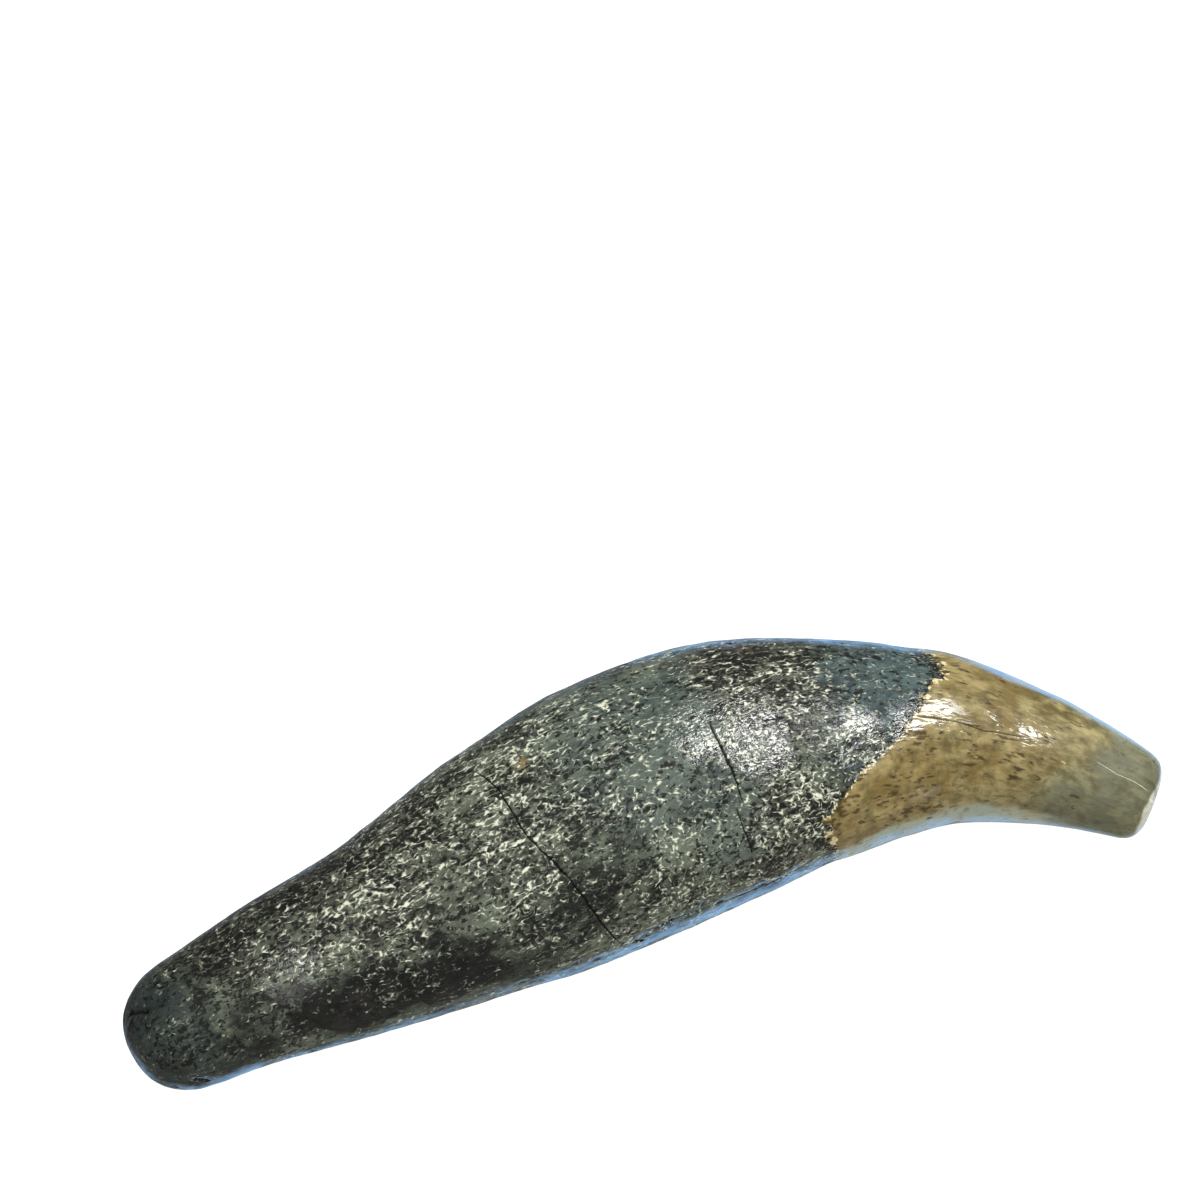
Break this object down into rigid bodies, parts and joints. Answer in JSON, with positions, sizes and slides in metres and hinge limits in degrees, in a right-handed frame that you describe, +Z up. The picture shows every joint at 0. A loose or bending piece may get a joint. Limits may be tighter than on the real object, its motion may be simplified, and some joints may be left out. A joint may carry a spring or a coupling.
{
  "type": "fossil cave bear tooth",
  "caption": "Fossil cave bear canine lying on its side: a long swollen dark root, a ragged enamel edge and a short curved crown with a worn tip, for display or study.",
  "frame": {"origin": "on the resting surface, under the middle of the tooth's bounding box", "axes": "+X runs along the tooth from the root end to the tip, +Y is the side the tooth bows out to, +Z is up from the surface it lies on"},
  "size_m": [0.1222, 0.0382, 0.0237],
  "materials": {
    "fossil_tooth": "semi-gloss, waxed fossil dentine and enamel: dark mottled root, olive-tan crown"
  },
  "bodies": {
    "root": {"tooth": "fossil_tooth"}
  },
  "joints": []
}
